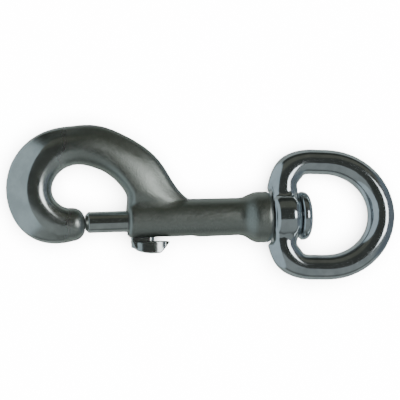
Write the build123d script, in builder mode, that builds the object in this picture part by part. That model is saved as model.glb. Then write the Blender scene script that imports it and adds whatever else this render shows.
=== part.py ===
from build123d import *
import os
from math import atan2, cos, degrees, radians, sin, tan

# Swivel-eye bolt snap: a cast hook whose gap is shut by a sprung bolt, on a free swivel eye.
# Millimetres. The origin is the middle of the eye's opening, on the swivel axis. +X runs along the
# barrel from the hook to the eye, +Y points to the side the hook's arch is on, and +Z is square to the
# hook.

os.makedirs("parts", exist_ok=True)

# ---- The eye: a D-shaped ring with a boss for the swivel pin ----
eye_opening_height = 24.5
eye_opening_length = 21.8
eye_bar_diameter = 7.6
eye_far_bar_diameter = 8.3
eye_base_width = 9.9
eye_base_depth = 9.0
eye_base_taper = 0.06
eye_corner_radius = 8.3
eye_flat_length = 5.1
eye_lean = -5.0
eye_skew = -3.0
eye_bar_joint = 1.0
boss_diameter = 15.2
boss_inset = 1.2
boss_edge_radius = 3.0

# ---- The swivel: pin, collar and their fits ----
pin_diameter = 7.0
pin_head_diameter = 14.7
pin_head_thickness = 3.2
pin_head_edge = 0.8
pin_grip = 11.0
swivel_clearance = 0.06
head_gap = 0.25
head_seat_clearance = 0.4
head_seat_cut = 2.0
collar_gap = 0.4
collar_recess_depth = 1.7
collar_recess_clearance = 0.45

# ---- The barrel ----
barrel_diameter = 11.3
barrel_mouth_diameter = 11.9
barrel_mouth_edge = 1.2
barrel_rise = 0.4
barrel_length = 43.4
collar_diameter = 15.4
collar_length = 4.0
collar_flare_length = 5.8
collar_edge = 1.6

# ---- The bolt, its thumb lever and its spring ----
bolt_diameter = 6.3
bolt_clearance = 0.07
bolt_travel = 12.0
bolt_nose_chamfer = 0.9
bolt_nose_gap = 0.1
bolt_tail_chamfer = 0.5
bolt_tail_length = 12.7
lever_set_back = 1.0
lever_neck_length = 6.8
lever_neck_thickness = 3.4
lever_length = 11.2
lever_width = 8.6
lever_thickness = 3.4
lever_barrel_gap = 0.75
lever_front_rake = 2.1
lever_shoulder = 0.5
lever_plan_stretch = 1.12
lever_sole_start = 0.8
lever_sole_place = 0.5
lever_back_rise = 0.15
slot_clearance = 0.3
slot_overcut = 1.0
spring_wire = 0.8
spring_clearance = 0.25
spring_coils = 7
spring_end_gap = 0.05

# ---- The hook ----
gate_gap = 12.7
tip_diameter = 9.9
tip_drop = 0.4
tip_length = 4.6
tip_edge = 3.7
bend_set_out = 15.6
bend_height = 10.0
hook_depth = 10.8

# Places along the swivel axis, from the eye back to the hook.
base_inner_x = -eye_opening_length / 2
base_outer_x = base_inner_x - eye_base_width
recess_floor_x = base_outer_x + collar_recess_depth
collar_end_x = recess_floor_x - collar_gap
mouth_x = collar_end_x - barrel_length
nose_x = mouth_x - gate_gap + bolt_nose_gap
tip_end_x = mouth_x - gate_gap
head_seat_x = base_inner_x + head_gap
pin_end_x = collar_end_x - pin_grip
flare_start_x = collar_end_x - collar_length - collar_flare_length
flare_steps = 4
lever_front_x = mouth_x + lever_set_back
lever_rear_x = lever_front_x + lever_neck_length
bolt_tail_x = mouth_x + bolt_tail_length
bolt_radius = bolt_diameter / 2
bore_radius = bolt_radius + bolt_clearance
barrel_radius = barrel_diameter / 2
mouth_radius = barrel_mouth_diameter / 2
collar_radius = collar_diameter / 2
pin_radius = pin_diameter / 2
pin_head_radius = pin_head_diameter / 2
boss_radius = boss_diameter / 2
slot_width = lever_neck_thickness + 2 * slot_clearance
slot_end_x = lever_rear_x - lever_neck_thickness / 2 + bolt_travel + slot_clearance
lever_top_y = barrel_rise - mouth_radius - lever_barrel_gap
lever_depth = -lever_top_y + lever_thickness
spring_radius = bore_radius - spring_clearance - spring_wire / 2
spring_length = pin_end_x - bolt_tail_x - 2 * spring_end_gap
spring_pitch = (spring_length - spring_wire) / spring_coils


# ---- hook_body: hook, barrel and collar cast in one, bored for the bolt and slotted for its lever ----


def flank_slope(reach, half, rim, crest_share, crease):
    """The angle at which a straight flank falls from the crest and runs smoothly into the rim."""
    low, high = 0.0, radians(80)
    while high - low > 1e-9:
        slope = (low + high) / 2
        rim_x = reach - rim * (1 - sin(slope))
        crest_x = rim_x * crest_share
        fall = crease * crest_x * tan(slope / 2) + tan(slope) * (rim_x - crest_x)
        if half - fall > rim * cos(slope):
            low = slope
        else:
            high = slope
    return slope


def hook_section(angle, inner_radius, outer_radius, crown, depth, rim, crest_share, crease):
    """A face across the hook bar: round on the inside, with a straight flank down to a round rim.

    It stands on the line at this angle round the bend's centre. The crown is the distance from the inner
    edge to the thickest place, the rim is the outer edge's radius, the crest share says how far out the
    flank starts, and a crease under 1 leaves a corner there.
    """
    along = radians(angle)
    outward = Vector(cos(along), sin(along), 0)
    thickest = Vector(bend_x, bend_height, 0) + outward * (inner_radius + crown)
    plane = Plane(origin=thickest, x_dir=outward, z_dir=(sin(along), -cos(along), 0))
    half = depth / 2
    reach = outer_radius - inner_radius - crown
    slope = flank_slope(reach, half, rim, crest_share, crease)
    rim_x = reach - rim * (1 - sin(slope))
    rim_y = rim * cos(slope)
    crest_x = rim_x * crest_share
    crest_y = half - crease * crest_x * tan(slope / 2)
    with BuildSketch(plane) as section:
        with BuildLine():
            EllipticalCenterArc((0, 0), crown, half, start_angle=90, arc_size=180)
            TangentArc((0, half), (crest_x, crest_y), tangent=(1, 0))
            Line((crest_x, crest_y), (rim_x, rim_y))
            ThreePointArc((rim_x, rim_y), (reach, 0), (rim_x, -rim_y))
            Line((rim_x, -rim_y), (crest_x, -crest_y))
            TangentArc((0, -half), (crest_x, -crest_y), tangent=(1, 0))
        make_face()
    return section.sketch


bend_x = mouth_x - bend_set_out

# Angle round the bend's centre, inner radius, outer radius, crown, depth, rim, crest share, crease.
hook_stations = (
    (270, 5.6, 15.15, 4.9, 9.8, 4.2, 0.8, 1.0),
    (245, 5.9, 17.5, 4.9, 10.2, 3.2, 0.6, 0.8),
    (215, 6.3, 19.65, 4.9, 10.6, 2.2, 0.42, 0.55),
    (180, 6.6, 20.05, 4.9, hook_depth, 2.0, 0.38, 0.5),
    (145, 6.5, 19.85, 4.9, hook_depth, 2.1, 0.42, 0.55),
    (115, 6.7, 19.15, 5.0, hook_depth, 2.6, 0.6, 0.8),
    (90, 7.1, 18.8, 5.0, hook_depth, 3.2, 0.74, 1.0),
    (60, 7.9, 20.75, 4.6, hook_depth, 3.2, 0.76, 1.0),
    (34, 9.65, 23.65, 4.0, hook_depth, 3.2, 0.78, 1.0),
    (14, 12.05, 27.3, 3.2, hook_depth, 3.2, 0.78, 1.0),
    (1, 14.1, 30.1, 2.8, hook_depth, 3.2, 0.78, 1.0),
    (-8, 15.6, 35.9, 2.6, 10.2, 3.0, 0.78, 1.0),
    (-17, 16.3, 40.5, 2.6, 8.4, 2.6, 0.78, 1.0),
)

with BuildPart() as hook_body:
    for station in hook_stations:
        add(hook_section(*station))
    loft()
    with BuildSketch(Plane.YZ.offset(tip_end_x)):
        with Locations((-tip_drop, 0)):
            Circle(tip_diameter / 2)
    extrude(amount=-tip_length - tip_edge)
    fillet(hook_body.edges().filter_by(GeomType.CIRCLE).sort_by(Axis.X)[-1], tip_edge)
    with BuildSketch(Plane.XY):
        with BuildLine():
            lip_inner = (mouth_x, barrel_rise + mouth_radius - barrel_mouth_edge)
            lip_outer = (mouth_x + barrel_mouth_edge, barrel_rise + mouth_radius)
            barrel_end = (flare_start_x, barrel_rise + barrel_radius)
            Polyline(lip_inner, (mouth_x, barrel_rise), (flare_start_x, barrel_rise), barrel_end, lip_outer)
            TangentArc(lip_inner, lip_outer, tangent=(0, 1))
        make_face()
    revolve(axis=Axis((0, barrel_rise, 0), (1, 0, 0)))
    for step in range(0, flare_steps + 1):
        share = step / flare_steps
        swell = share * share * (3 - 2 * share)
        with BuildSketch(Plane.YZ.offset(flare_start_x + collar_flare_length * share)):
            with Locations((barrel_rise * (1 - swell), 0)):
                Circle(barrel_radius + (collar_radius - barrel_radius) * swell)
    loft()
    with BuildSketch(Plane.YZ.offset(collar_end_x)):
        Circle(collar_radius)
    extrude(amount=-collar_length)
    fillet(hook_body.edges().filter_by(GeomType.CIRCLE).sort_by(Axis.X)[-1], collar_edge)
    with BuildSketch(Plane.YZ.offset(mouth_x)):
        Circle(bore_radius)
    extrude(amount=pin_end_x - mouth_x, mode=Mode.SUBTRACT)
    with BuildSketch(Plane.YZ.offset(collar_end_x)):
        Circle(pin_radius)
    extrude(amount=-pin_grip, mode=Mode.SUBTRACT)
    with BuildSketch(Plane.XZ):
        with Locations((slot_end_x, 0)):
            Circle(slot_width / 2)
        with Locations(((slot_end_x + mouth_x - slot_overcut) / 2, 0)):
            Rectangle(slot_end_x - mouth_x + slot_overcut, slot_width)
    extrude(amount=collar_radius, mode=Mode.SUBTRACT)

# ---- latch_bolt: the sliding bolt with its thumb lever in one piece ----

with BuildPart() as latch_bolt:
    with BuildSketch(Plane.YZ.offset(nose_x)):
        Circle(bolt_radius)
    extrude(amount=bolt_tail_x - nose_x)
    chamfer(latch_bolt.edges().filter_by(GeomType.CIRCLE).sort_by(Axis.X)[0], bolt_nose_chamfer)
    chamfer(latch_bolt.edges().filter_by(GeomType.CIRCLE).sort_by(Axis.X)[-1], bolt_tail_chamfer)
    with BuildSketch(Plane.XZ):
        with Locations((lever_rear_x - lever_neck_thickness / 2, 0)):
            Circle(lever_neck_thickness / 2)
        with Locations(((lever_front_x + lever_rear_x - lever_neck_thickness / 2) / 2, 0)):
            Rectangle(lever_neck_length - lever_neck_thickness / 2, lever_neck_thickness)
    extrude(amount=lever_thickness / 2 - lever_top_y)
    with BuildSketch(Plane.XY):
        with BuildLine():
            front_top = (lever_front_x, lever_top_y + lever_shoulder)
            sole_front = (lever_front_x + lever_front_rake, lever_top_y - lever_thickness * lever_sole_start)
            sole_low = (lever_front_x + lever_length * lever_sole_place, lever_top_y - lever_thickness)
            tip_point = (lever_front_x + lever_length, lever_top_y)
            Spline(front_top, sole_front, sole_low, tip_point, tangents=((0.1, -1), (0.7, 1)))
            Spline(
                tip_point,
                (lever_rear_x, lever_top_y + lever_shoulder * lever_back_rise),
                front_top,
                tangents=((-1, 0), (-1, 0.5)),
            )
        make_face()
    extrude(amount=lever_width / 2, both=True)
    with BuildSketch(Plane.XZ) as lever_plan:
        with Locations((lever_front_x + lever_length / 2, 0)):
            Ellipse(lever_length / 2 * lever_plan_stretch, lever_width / 2)
        with Locations((nose_x + (bolt_tail_x - nose_x) / 2, 0)):
            Rectangle(bolt_tail_x - nose_x, bolt_diameter)
    extrude(amount=lever_depth, both=True, mode=Mode.INTERSECT)

# ---- bolt_spring: a compression spring behind the bolt, seated on the swivel pin ----

with BuildPart() as bolt_spring:
    with BuildLine() as spring_line:
        Helix(
            pitch=spring_pitch,
            height=spring_length - spring_wire,
            radius=spring_radius,
            center=(bolt_tail_x + spring_end_gap + spring_wire / 2, 0, 0),
            direction=(1, 0, 0),
        )
    with BuildSketch(spring_line.line ^ 0):
        Circle(spring_wire / 2)
    sweep()

# ---- swivel_pin: headed pin that holds the eye on the barrel ----

with BuildPart() as swivel_pin:
    with BuildSketch(Plane.XY):
        with BuildLine():
            head_edge = (head_seat_x + pin_head_edge, pin_head_radius)
            head_crown = (head_seat_x + pin_head_thickness, 0)
            Polyline(head_crown, (pin_end_x, 0), (pin_end_x, pin_radius), (head_seat_x, pin_radius))
            Line((head_seat_x, pin_radius), (head_seat_x, pin_head_radius - pin_head_edge))
            TangentArc(
                (head_seat_x, pin_head_radius - pin_head_edge), head_edge, tangent=(0, 1)
            )
            Spline(head_edge, head_crown, tangents=((1, 0), (0, -1)))
        make_face()
    revolve(axis=Axis.X)

# ---- swivel_eye: the D-shaped ring, which turns freely on the pin ----


def ring_section(x, y, heading, width, depth):
    """A face across the eye's bar, at a place in the ring's own plane, square to its heading."""
    along = radians(heading)
    middle = eye_plane.from_local_coords((x, y, 0))
    across = eye_plane.from_local_coords((sin(along), -cos(along), 0))
    forward = eye_plane.from_local_coords((cos(along), sin(along), 0))
    with BuildSketch(Plane(origin=middle, x_dir=across, z_dir=forward)) as section:
        Ellipse(width / 2, depth / 2)
    return section.sketch


# The ring leans about the pin's axis, as it lies, and is forged a little askew in its own plane.
eye_plane = Plane.XY.rotated((eye_lean, 0, eye_skew))
bow_y = (eye_opening_height + eye_bar_diameter) / 2
base_x = (base_inner_x + base_outer_x) / 2
corner_x = base_x + eye_corner_radius
bow_start_x = corner_x + eye_flat_length
bow_length = eye_opening_length / 2 + eye_far_bar_diameter / 2 - bow_start_x

# The upper half of the ring, from inside the boss round to the far end of the bow. The bar is left open
# inside the boss, which closes it.
ring_stations = []
base_steps = 2
base_run = bow_y - eye_corner_radius - eye_bar_joint
for step in range(0, base_steps + 1):
    share = step / base_steps
    width = eye_base_width * (1 - eye_base_taper * share)
    ring_stations.append((base_x, eye_bar_joint + base_run * share, 90, width, eye_base_depth))
corner_steps = 3
for step in range(1, corner_steps + 1):
    turn = radians(90 * step / corner_steps)
    share = step / corner_steps
    x = corner_x - eye_corner_radius * cos(turn)
    y = bow_y - eye_corner_radius * (1 - sin(turn))
    width = eye_base_width * (1 - eye_base_taper) * (1 - share) + eye_bar_diameter * share
    depth = eye_base_depth * (1 - share) + eye_bar_diameter * share
    ring_stations.append((x, y, 90 - degrees(turn), width, depth))
bow_steps = 5
for step in range(0, bow_steps + 1):
    turn = radians(90 * step / bow_steps)
    share = step / bow_steps
    bar = eye_bar_diameter * (1 - share) + eye_far_bar_diameter * share
    heading = degrees(atan2(-bow_y * sin(turn), bow_length * cos(turn)))
    x = bow_start_x + bow_length * sin(turn)
    ring_stations.append((x, bow_y * cos(turn), heading, bar, bar))
for x, y, heading, width, depth in ring_stations[-2::-1]:
    ring_stations.append((x, -y, 180 - heading, width, depth))

with BuildPart() as swivel_eye:
    for station in ring_stations:
        add(ring_section(*station))
    loft()
    # Drawn in XZ, so that the boss's seam is clear of the bar, which runs out of it along Y.
    with BuildSketch(Plane.XZ):
        with BuildLine():
            boss_start_x = base_outer_x + boss_inset
            Line((base_inner_x, 0), (boss_start_x, 0))
            Line((boss_start_x, 0), (boss_start_x, boss_radius - boss_edge_radius))
            TangentArc(
                (boss_start_x, boss_radius - boss_edge_radius),
                (boss_start_x + boss_edge_radius, boss_radius),
                tangent=(0, 1),
            )
            Line(
                (boss_start_x + boss_edge_radius, boss_radius),
                (base_inner_x - boss_edge_radius, boss_radius),
            )
            TangentArc(
                (base_inner_x - boss_edge_radius, boss_radius),
                (base_inner_x, boss_radius - boss_edge_radius),
                tangent=(1, 0),
            )
            Line((base_inner_x, boss_radius - boss_edge_radius), (base_inner_x, 0))
        make_face()
    revolve(axis=Axis.X)
    with BuildSketch(Plane.YZ.offset(base_outer_x - collar_recess_depth)):
        Circle(collar_radius + collar_recess_clearance)
    extrude(amount=2 * collar_recess_depth, mode=Mode.SUBTRACT)
    with BuildSketch(Plane.YZ.offset(base_outer_x)):
        Circle(pin_radius + swivel_clearance)
    extrude(amount=eye_base_width, mode=Mode.SUBTRACT)
    with BuildSketch(Plane.YZ.offset(base_inner_x)):
        Circle(pin_head_radius + head_seat_clearance)
    extrude(amount=head_seat_cut, mode=Mode.SUBTRACT)

parts = (hook_body, latch_bolt, bolt_spring, swivel_pin, swivel_eye)
names = ("hook_body", "latch_bolt", "bolt_spring", "swivel_pin", "swivel_eye")
for piece, name in zip(parts, names):
    piece.part.label = name
    export_step(piece.part, f"parts/{name}.step")
    print(name, round(piece.part.volume), piece.part.is_valid, piece.part.bounding_box())
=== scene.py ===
# %% [markdown]
# A bolt snap, piece by piece
# This object is a hook that is opened with the thumb: a cast hook and barrel, a sliding bolt, a hidden
# spring, a headed pin and a D-shaped eye that turns on it. All of it is plated metal, so almost
# everything that is seen is a reflection, and the work is in clean curved surfaces, in a fine grain and
# in what surrounds the object.

# %% The frame
import math

import bmesh
import bpy
import numpy as np
from mathutils import Matrix, Vector


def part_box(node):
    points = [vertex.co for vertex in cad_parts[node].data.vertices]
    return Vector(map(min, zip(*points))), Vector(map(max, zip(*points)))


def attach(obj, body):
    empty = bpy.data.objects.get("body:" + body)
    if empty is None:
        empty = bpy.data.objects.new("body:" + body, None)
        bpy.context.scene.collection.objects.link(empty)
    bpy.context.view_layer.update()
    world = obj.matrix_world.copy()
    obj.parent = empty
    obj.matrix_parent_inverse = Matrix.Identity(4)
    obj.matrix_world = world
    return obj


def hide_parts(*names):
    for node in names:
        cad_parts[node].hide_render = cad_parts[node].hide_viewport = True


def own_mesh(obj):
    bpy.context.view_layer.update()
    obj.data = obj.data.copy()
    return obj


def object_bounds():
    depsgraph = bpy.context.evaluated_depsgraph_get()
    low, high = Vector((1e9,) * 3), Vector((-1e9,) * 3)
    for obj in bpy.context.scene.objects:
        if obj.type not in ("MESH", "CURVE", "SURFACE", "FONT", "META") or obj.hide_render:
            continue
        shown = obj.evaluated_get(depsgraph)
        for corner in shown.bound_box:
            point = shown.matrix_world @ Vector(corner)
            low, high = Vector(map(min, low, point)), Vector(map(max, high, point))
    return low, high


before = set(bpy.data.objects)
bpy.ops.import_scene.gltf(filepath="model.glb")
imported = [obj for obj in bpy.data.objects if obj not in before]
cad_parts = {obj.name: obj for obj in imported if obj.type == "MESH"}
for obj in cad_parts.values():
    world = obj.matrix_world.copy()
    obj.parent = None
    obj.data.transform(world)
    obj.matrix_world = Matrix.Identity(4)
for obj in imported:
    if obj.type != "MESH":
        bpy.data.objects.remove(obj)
cad_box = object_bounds()
MM = 0.001

# %% [markdown]
# Shader maths reads best as ordinary expressions. This class wraps one socket of a node tree, and each
# operator adds the Math node that does it.


# %% Shader maths
class Shade:
    def __init__(self, tree, socket=None):
        self.tree = tree
        self.socket = socket

    def node(self, kind, settings=None, output=0, **inputs):
        """Any node: settings are set first, then the sockets, by number (as i0) or by name."""
        made = self.tree.nodes.new(kind)
        for name, value in (settings or {}).items():
            if name == "stops":
                ramp = made.color_ramp
                while len(ramp.elements) < len(value):
                    ramp.elements.new(0.5)
                for element, (place, colour) in zip(ramp.elements, value):
                    element.position = place
                    element.color = colour
            else:
                setattr(made, name, value)
        for name, value in inputs.items():
            place = int(name[1:]) if name[1:].isdigit() else name.replace("_", " ")
            socket = made.inputs[place]
            if isinstance(value, Shade):
                self.tree.links.new(value.socket, socket)
            else:
                socket.default_value = value
        return Shade(self.tree, made.outputs[output])

    def math(self, operation, *values):
        named = {f"i{index}": value for index, value in enumerate(values)}
        return self.node("ShaderNodeMath", {"operation": operation}, **named)

    def __add__(self, other):
        return self.math("ADD", self, other)

    __radd__ = __add__

    def __sub__(self, other):
        return self.math("SUBTRACT", self, other)

    def __rsub__(self, other):
        return self.math("SUBTRACT", other, self)

    def __mul__(self, other):
        return self.math("MULTIPLY", self, other)

    __rmul__ = __mul__

    def __truediv__(self, other):
        return self.math("DIVIDE", self, other)

    def step(self, low, high):
        """0 below low, 1 above high, smooth between."""
        return self.node(
            "ShaderNodeMapRange", {"interpolation_type": "SMOOTHSTEP"}, i0=self, i1=low, i2=high
        )

    def mix(self, first, second):
        """The colour first where this is 0, second where it is 1."""
        settings = {"data_type": "RGBA"}
        return self.node("ShaderNodeMix", settings, output=2, i0=self, i6=first, i7=second)


# %% [markdown]
# The camera hangs almost straight over the object, which lies on its side. It stands a little towards
# the hook, so the left-facing walls show, and it is turned a little in its own plane.

# %% The camera
camera_distance = 430 * MM
camera_swing = math.radians(9.0)
camera_roll = math.radians(1.7)
aim = Vector((-0.0409, 0.0057, 0))
back = Vector((-math.sin(camera_swing), 0, math.cos(camera_swing)))
side = Vector((math.cos(camera_swing), 0, math.sin(camera_swing)))
up = back.cross(side)
turned_side = side * math.cos(camera_roll) - up * math.sin(camera_roll)
turned_up = up * math.cos(camera_roll) + side * math.sin(camera_roll)
turn = Matrix((turned_side, turned_up, back)).transposed()
camera_data = bpy.data.cameras.new("camera")
camera_data.lens = 128.9
camera_data.sensor_width = 36
camera_data.clip_start = 0.01
camera_data.clip_end = 10
camera = bpy.data.objects.new("camera", camera_data)
bpy.context.collection.objects.link(camera)
camera.matrix_world = Matrix.Translation(aim + back * camera_distance) @ turn.to_4x4()
bpy.context.scene.camera = camera
print("camera", [round(c, 4) for c in camera.location])

# %% [markdown]
# A casting has no sharp inside corners: metal runs into them, and the mould's draught rounds the rest.
# The exact model joins its arm, barrel and boss with plain seams, so the pieces whose surface was cast or
# forged are rebuilt here. Each one is copied, its bores are plugged, the whole is remeshed into one even
# skin, and the skin is relaxed, which rounds the inside corners most. Then the bores and the slot are cut
# again, so that the fits stay crisp and exactly where the bolt and the pin run.


# %% Plugs, cutters and booleans
def add_mesh(name, points, faces):
    mesh = bpy.data.meshes.new(name)
    mesh.from_pydata(points, [], faces)
    made = bpy.data.objects.new(name, mesh)
    bpy.context.collection.objects.link(made)
    return made


def round_bar(name, start_x, end_x, radius, y=0.0, sides=96):
    """A closed cylinder along X."""
    points = []
    for x in (start_x, end_x):
        for step in range(sides):
            turned = 2 * math.pi * step / sides
            points.append((x, y + radius * math.cos(turned), radius * math.sin(turned)))
    faces = [tuple(reversed(range(sides))), tuple(range(sides, 2 * sides))]
    for step in range(sides):
        after = (step + 1) % sides
        faces.append((step, after, sides + after, sides + step))
    return add_mesh(name, points, faces)


def modified(piece, kind, **settings):
    """Adds a modifier, applies it and leaves the mesh plain."""
    modifier = piece.modifiers.new(kind.lower(), kind)
    for name, value in settings.items():
        setattr(modifier, name, value)
    bpy.context.view_layer.update()
    graph = bpy.context.evaluated_depsgraph_get()
    mesh = bpy.data.meshes.new_from_object(piece.evaluated_get(graph))
    piece.modifiers.clear()
    piece.data = mesh
    return piece


def combine(piece, other, operation):
    modified(piece, "BOOLEAN", object=other, operation=operation, solver="EXACT")
    bpy.data.objects.remove(other)
    return piece


def joined(pieces, name):
    """One new mesh with all the faces of several, which are removed."""
    skin = bmesh.new()
    for piece in pieces:
        skin.from_mesh(piece.data)
        bpy.data.objects.remove(piece)
    made = add_mesh(name, [], [])
    skin.to_mesh(made.data)
    skin.free()
    return made


weld_reach = 0.001 * MM


def welded(piece):
    """Closes the slivers that cutting can leave, and counts the edges that still lack a face."""
    skin = bmesh.new()
    skin.from_mesh(piece.data)
    bmesh.ops.remove_doubles(skin, verts=skin.verts, dist=weld_reach)
    bmesh.ops.dissolve_degenerate(skin, edges=skin.edges, dist=weld_reach)
    open_edges = sum(1 for edge in skin.edges if len(edge.link_faces) != 2)
    print(piece.name, "edges without two faces", open_edges)
    skin.to_mesh(piece.data)
    skin.free()
    return piece


def copied(node):
    """A plain copy of a node of the exact part."""
    made = bpy.data.objects.new("copy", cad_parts[node].data.copy())
    bpy.context.collection.objects.link(made)
    return made


# %% [markdown]
# Relaxing moves each point towards the middle of its neighbours. Done alone, that shrinks a piece, so
# every step in is followed by a slightly larger step out. A fillet is the opposite: there the metal should
# pile up, so the sharp hollow places are found first and only they are pulled, with nothing pushed back.

# %% Relaxing a skin
step_in = 0.5
step_out = 0.52
seam_depth = 0.012 * MM
seam_spread = 11
seam_fade = 0.9
seam_gain = 1.6
seam_pull = 0.7
furthest = 3 * MM


def relaxed(piece, rounds, seam_rounds=0, keep_out=None):
    """Smooths a skin in two ways, both without letting it run away.

    The rounds move each point to its neighbours' middle and back again, which takes off facets and does
    not shrink the piece. The seam rounds only pull at the sharp inside corners and what is near them,
    and fill those with a round.
    """
    mesh = piece.data
    count = len(mesh.vertices)
    points = np.empty(count * 3)
    mesh.vertices.foreach_get("co", points)
    points = points.reshape(-1, 3)
    start = points.copy()
    ends = np.empty(len(mesh.edges) * 2, dtype=np.int64)
    mesh.edges.foreach_get("vertices", ends)
    first, second = ends.reshape(-1, 2).T
    tally = np.maximum(np.bincount(np.r_[first, second], minlength=count), 1)

    def pull(field):
        total = np.empty_like(field)
        for axis in range(field.shape[1]):
            one_way = np.bincount(first, weights=field[second, axis], minlength=count)
            total[:, axis] = one_way + np.bincount(second, weights=field[first, axis], minlength=count)
        return total / tally[:, None] - field

    free = np.ones((count, 1)) if keep_out is None else 1.0 - keep_out(points)[:, None]
    for turn_number in range(rounds):
        points = points + step_in * free * pull(points)
        points = points - step_out * free * pull(points)
    if seam_rounds:
        mesh.vertices.foreach_set("co", points.ravel())
        mesh.update()
        normals = np.empty(count * 3)
        mesh.vertices.foreach_get("normal", normals)
        hollow = (pull(points) * normals.reshape(-1, 3)).sum(1)[:, None]
        near = (hollow > seam_depth).astype(float)
        for turn_number in range(seam_spread):
            near = np.maximum(near, near + seam_fade * pull(near))
        near = np.clip(near * seam_gain, 0, 1) * free
        for turn_number in range(seam_rounds):
            points = points + seam_pull * near * pull(points)
    moved = np.linalg.norm(points - start, axis=1).max()
    if not moved < furthest:
        raise ValueError(f"{piece.name} came apart while it was relaxed: {moved / MM} mm")
    mesh.vertices.foreach_set("co", points.ravel())
    mesh.update()
    print(piece.name, "moved at most", round(moved / MM, 2), "mm")
    return piece


def smooth_shaded(piece, crease=35):
    """Smooth shading, with edges sharper than the crease angle kept sharp."""
    for face in piece.data.polygons:
        face.use_smooth = True
    skin = bmesh.new()
    skin.from_mesh(piece.data)
    for edge in skin.edges:
        if len(edge.link_faces) == 2 and edge.calc_face_angle(0) > math.radians(crease):
            edge.smooth = False
    skin.to_mesh(piece.data)
    skin.free()
    return piece


# %% [markdown]
# Skinning puts those steps together. The result is held within the exact part's box, so that a rounded piece
# never stands out further than the real size.

# %% Skinning a node
def kept_inside(piece, node):
    """Holds the points within the node's own box, so that the skin is no larger than the exact part."""
    low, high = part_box(node)
    count = len(piece.data.vertices)
    points = np.empty(count * 3)
    piece.data.vertices.foreach_get("co", points)
    points = np.clip(points.reshape(-1, 3), np.array(low), np.array(high))
    piece.data.vertices.foreach_set("co", points.ravel())
    piece.data.update()


def skinned(node, name, voxel, rounds, seam_rounds=0, plugs=(), cutters=()):
    """A relaxed, evenly meshed copy of a node: plugged, remeshed, relaxed and cut again."""
    made = joined([copied(node), *plugs], name)
    modified(made, "REMESH", mode="VOXEL", voxel_size=voxel)
    relaxed(made, rounds, seam_rounds)
    kept_inside(made, node)
    if cutters:
        cutter = cutters[0]
        for other in cutters[1:]:
            combine(cutter, other, "UNION")
        combine(made, cutter, "DIFFERENCE")
        welded(made)
    smooth_shaded(made)
    print(name, len(made.data.polygons), "faces")
    return made


def upright_slot(name, start_x, end_x, width, depth, sides=32):
    """A closed slot cutter, open towards the start and round at its end, from the axis down to -depth."""
    half = width / 2
    outline = [(start_x, -half), (start_x, half)]
    for step in range(sides + 1):
        turned = math.pi * (0.5 - step / sides)
        outline.append((end_x + half * math.cos(turned), half * math.sin(turned)))
    count = len(outline)
    points = [(x, 0.0, z) for x, z in outline] + [(x, -depth, z) for x, z in outline]
    faces = [tuple(range(count)), tuple(reversed(range(count, 2 * count)))]
    for step in range(count):
        after = (step + 1) % count
        faces.append((after, step, count + step, count + after))
    return add_mesh(name, points, faces)


# %% [markdown]
# The hook is cast in one with its barrel. The bolt runs in the barrel's bore, its lever runs in the slot
# underneath, and the pin's shank fills a hole of its own at the rear.

# %% The cast hook
bolt_low, bolt_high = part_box("latch_bolt")
pin_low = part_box("swivel_pin")[0]
hook_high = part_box("hook_body")[1]
eye_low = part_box("swivel_eye")[0]
gate_reach = 12.6 * MM
slot_length = 18.4 * MM
mouth_x = bolt_low.x + gate_reach
bolt_radius = bolt_high.y
bore_radius = bolt_radius + 0.07 * MM
pin_radius = 3.5 * MM
barrel_middle_y = 0.4 * MM
slot_width = 4.0 * MM
slot_end_x = mouth_x + slot_length
overrun = 2 * MM
hook_plugs = [
    round_bar("mouth_plug", mouth_x, hook_high.x - 0.3 * MM, 4.7 * MM, barrel_middle_y),
    round_bar("barrel_plug", mouth_x + 0.6 * MM, slot_end_x + 3 * MM, 5.4 * MM, barrel_middle_y),
]
hook_cutters = [
    round_bar("bore", mouth_x - overrun, pin_low.x, bore_radius),
    round_bar("pin_seat", pin_low.x - 0.01 * MM, hook_high.x + overrun, pin_radius),
    upright_slot("slot", mouth_x - overrun, slot_end_x, slot_width, 9 * MM),
]
hook = skinned("hook_body", "hook", 0.30 * MM, 14, 120, hook_plugs, hook_cutters)
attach(hook, "hook")
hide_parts("hook_body")

# %% [markdown]
# The eye is forged: its round bar thickens into a boss, and the two run together in hollow curves that
# catch the light. The pin's hole, the collar's recess and the head's flat seat are machined afterwards.

# %% The forged eye
head_seat_x = -10.9 * MM
recess_floor_x = -19.1 * MM
eye_plugs = [
    round_bar("eye_plug", recess_floor_x - 0.6 * MM, head_seat_x, 6.4 * MM),
]
eye_cutters = [
    round_bar("recess", eye_low.x - overrun, recess_floor_x, 8.15 * MM),
    round_bar("pin_hole", recess_floor_x - 0.5 * MM, head_seat_x + overrun, pin_radius + 0.06 * MM),
    round_bar("head_seat", head_seat_x, head_seat_x + overrun, 7.75 * MM),
]
eye = skinned("swivel_eye", "eye", 0.27 * MM, 24, 260, eye_plugs, eye_cutters)
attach(eye, "eye")
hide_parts("swivel_eye")

# %% [markdown]
# The bolt is turned, and its thumb lever is pressed to shape and tumbled, so its edges are soft. The pin
# is headed cold, which leaves a clean dome. Both only need a finer skin.

# %% The bolt and the pin
bolt = skinned("latch_bolt", "bolt", 0.16 * MM, 8)
lever_below = -4.6 * MM
relaxed(bolt, 90, 0, lambda points: (points[:, 1] > lever_below).astype(float))
kept_inside(bolt, "latch_bolt")
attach(bolt, "bolt")
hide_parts("latch_bolt")
pin = skinned("swivel_pin", "pin", 0.16 * MM, 20)
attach(pin, "hook")
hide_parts("swivel_pin")
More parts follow.
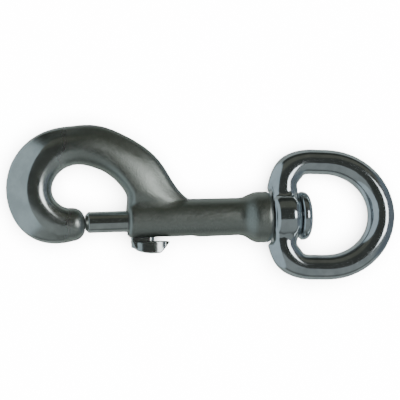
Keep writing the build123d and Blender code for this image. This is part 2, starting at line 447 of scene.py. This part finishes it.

# %% [markdown]
# The spring stands between the bolt's tail and the pin. Its end turns are closed, so that it sits square.
# In the real snap it shortens along the barrel as the bolt is drawn back; here it keeps the one length of
# the exact part.


# %% The spring
def coil(name, start_x, end_x, radius, wire, turns, closed, sides=12, steps=40):
    """A compression spring along X, with this many closed turns at each end."""
    free_turns = turns - 2 * closed
    pitch = (end_x - start_x - wire - 2 * closed * wire) / free_turns
    total = int(turns * steps)
    points = []
    for place in range(total + 1):
        turned = place / steps
        flat = min(turned, closed) + max(turned - turns + closed, 0)
        x = start_x + wire / 2 + flat * wire + (turned - flat) * pitch
        angle = 2 * math.pi * turned
        outward = Vector((0, math.cos(angle), math.sin(angle)))
        for corner in range(sides):
            around = 2 * math.pi * corner / sides
            offset = outward * (math.cos(around) * wire / 2)
            along = Vector((math.sin(around) * wire / 2, 0, 0))
            points.append(Vector((x, 0, 0)) + outward * radius + offset + along)
    faces = [tuple(range(sides)), tuple(reversed(range(total * sides, (total + 1) * sides)))]
    for place in range(total):
        for corner in range(sides):
            after = (corner + 1) % sides
            low = place * sides
            faces.append((low + corner, low + sides + corner, low + sides + after, low + after))
    made = add_mesh(name, points, faces)
    skin = bmesh.new()
    skin.from_mesh(made.data)
    bmesh.ops.recalc_face_normals(skin, faces=skin.faces)
    skin.to_mesh(made.data)
    skin.free()
    return smooth_shaded(made, 60)


spring_low, spring_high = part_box("bolt_spring")
wire = 0.8 * MM
spring_radius = spring_high.y - wire / 2 - 0.02 * MM
spring = coil("spring", spring_low.x, spring_high.x, spring_radius, wire, 8.5, 1.0)
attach(spring, "hook")
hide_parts("bolt_spring")
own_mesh(spring)

# %% [markdown]
# The snap lies on a pale table. The table is only there to be seen and to catch the shadow, and the metal
# doesn't mirror it.

# %% The floor
floor_z = cad_box[0].z
floor = add_mesh(
    "floor", [(-2, -2, floor_z), (2, -2, floor_z), (2, 2, floor_z), (-2, 2, floor_z)], [(0, 1, 2, 3)]
)
floor.visible_glossy = False


# %% [markdown]
# Plating over cast iron is a dull mirror with a grain: fine pits that scatter the light.
# The forged eye and the turned pin are plated too, but they were smooth before, so they are near-mirrors
# with only a faint orange peel. The hook's bend is rubbed bright by rings and rope, while the arm and the
# barrel keep the rougher skin of the mould, so the casting's roughness and pits change along X. The arm
# and the barrel are also given a darker colour, which is painted shade that dims the window's reflection
# there.


# %% The finishes
rubbed_depth = 0.12  # the share of the pits' depth that is left where the hook is rubbed bright
dull_roughness = 0.16
# the darker colour of the arm and barrel: painted shade that dims the window's reflection on them
painted_shade_tint = (0.36, 0.38, 0.355, 1)


def plated(name, tint, roughness, spread, grain, depth, swell_depth, rubbed_and_shaded=None):
    """Plated metal. Grain is the pits' spacing and depth their height, both in millimetres.

    The last argument gives the two X places, in metres, between which the bright end turns into the rougher
    one, whose colour is also darkened there as painted shade.
    """
    made = bpy.data.materials.new(name)
    made.use_nodes = True
    tree = made.node_tree
    shader = tree.nodes["Principled BSDF"]
    place = Shade(tree).node("ShaderNodeTexCoord", output=3)
    pits = place.node("ShaderNodeTexNoise", None, Vector=place, Scale=1000 / grain, Detail=5.0)
    swell = place.node("ShaderNodeTexNoise", None, Vector=place, Scale=110.0, Detail=1.0)
    worn = place.node("ShaderNodeTexNoise", None, Vector=place, Scale=240.0, Detail=4.0)
    rough = roughness + (worn - 0.5) * spread
    relief = pits * depth + swell * swell_depth
    dark = tuple(c * 0.84 for c in tint[:3]) + (1,)
    colour = worn.step(0.3, 0.7).mix(dark, tint)
    if rubbed_and_shaded:
        dull_and_shaded = place.node("ShaderNodeSeparateXYZ", i0=place).step(*rubbed_and_shaded)
        rough = rough + dull_and_shaded * dull_roughness
        relief = pits * (depth * rubbed_depth + dull_and_shaded * (depth * (1 - rubbed_depth))) + swell * swell_depth
        # the arm and barrel are darkened here as painted shade; their roughness and pits above are the real
        # finish
        colour = dull_and_shaded.mix(colour, painted_shade_tint)
    bump = pits.node("ShaderNodeBump", None, Strength=1.0, Distance=MM, Height=relief)
    tree.links.new(colour.socket, shader.inputs["Base Color"])
    tree.links.new(rough.socket, shader.inputs["Roughness"])
    tree.links.new(bump.socket, shader.inputs["Normal"])
    shader.inputs["Metallic"].default_value = 1.0
    return made


finishes = {
    "hook_body": plated(
        "cast_plating", (0.60, 0.63, 0.615, 1), 0.20, 0.10, 0.50, 0.075, 0.06, rubbed_and_shaded=(-0.090, -0.072)
    ),
    "latch_bolt": plated("turned_plating", (0.60, 0.63, 0.62, 1), 0.17, 0.08, 0.45, 0.004, 0.0),
    "bolt_spring": plated("spring_plating", (0.55, 0.57, 0.58, 1), 0.22, 0.06, 0.30, 0.002, 0.0),
    "swivel_pin": plated("pin_plating", (0.60, 0.65, 0.68, 1), 0.13, 0.06, 0.60, 0.003, 0.02),
    "swivel_eye": plated("forged_plating", (0.64, 0.68, 0.70, 1), 0.13, 0.06, 0.60, 0.006, 0.08),
}
pieces = {
    "hook_body": hook,
    "latch_bolt": bolt,
    "bolt_spring": spring,
    "swivel_pin": pin,
    "swivel_eye": eye,
}
for name, finish in finishes.items():
    for piece in (pieces[name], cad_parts[name]):
        piece.data.materials.clear()
        piece.data.materials.append(finish)

pale = bpy.data.materials.new("pale_floor")
pale.use_nodes = True
shader = pale.node_tree.nodes["Principled BSDF"]
shader.inputs["Base Color"].default_value = (0.93, 0.93, 0.93, 1)
shader.inputs["Roughness"].default_value = 0.9
shader.inputs["Specular IOR Level"].default_value = 0.1
floor.data.materials.append(pale)

# %% [markdown]
# Metal shows its surroundings, so the room is painted on the sky by direction: a soft window overhead
# and to the right, the dark of the room beside it, pale walls low down on the near and left sides, and
# the table below. The floor gets its own broad lamp, which the metal doesn't mirror.

# %% The room
DEGREE = math.pi / 180
world = bpy.data.worlds.new("room")
bpy.context.scene.world = world
world.use_nodes = True
tree = world.node_tree
background = tree.nodes["Background"]
direction = Shade(tree).node("ShaderNodeTexCoord", output=0)
toward_x = direction.node("ShaderNodeSeparateXYZ", i0=direction)
toward_y = Shade(tree, toward_x.socket.node.outputs[1])
toward_z = Shade(tree, toward_x.socket.node.outputs[2])
tilt = toward_y.math("ARCTAN2", toward_y, toward_z) / DEGREE
lean = toward_x.math("ARCSINE", toward_x) / DEGREE


def between(value, low, high, soft):
    return value.step(low - soft, low + soft) * (1 - value.step(high - soft, high + soft))


def grey(red, green, blue):
    return (red, green, blue, 1)


overhead = grey(0.055, 0.06, 0.055)
far_room = grey(0.115, 0.12, 0.10)
far_edge = grey(0.035, 0.04, 0.035)
near_wall = grey(0.275, 0.305, 0.305)
near_edge = grey(0.13, 0.145, 0.14)
table = grey(0.36, 0.40, 0.39)
left_wall = grey(0.50, 0.60, 0.65)
right_wall = grey(0.16, 0.19, 0.22)
window = grey(5.0, 5.2, 5.2)
sky = tilt.step(34, 46).mix(overhead, far_room)
sky = between(tilt, 74, 96, 5).mix(sky, far_edge)
sky = (1 - tilt.step(-15, -11)).mix(sky, near_wall)
sky = (1 - tilt.step(-88, -68)).mix(sky, near_edge)
below = tilt.math("ABSOLUTE", tilt).step(94, 102)
sky = below.mix(sky, table)
sky = lean.step(46, 60).mix(sky, right_wall)
sky = (1 - lean.step(-36, -30)).mix(sky, left_wall)
pane = between(tilt, -8, 26, 3) * between(lean, 30, 50, 3)
sky = pane.mix(sky, window)
tree.links.new(sky.socket, background.inputs["Color"])
background.inputs["Strength"].default_value = 1.0

lamp_data = bpy.data.lights.new("floor_lamp", "AREA")
lamp_data.shape = "DISK"
lamp_data.size = 1.6
lamp_data.energy = 340
lamp = bpy.data.objects.new("floor_lamp", lamp_data)
bpy.context.collection.objects.link(lamp)
lamp.location = (0, 0, 1.2)
lamp.visible_glossy = False
lamp.visible_camera = False
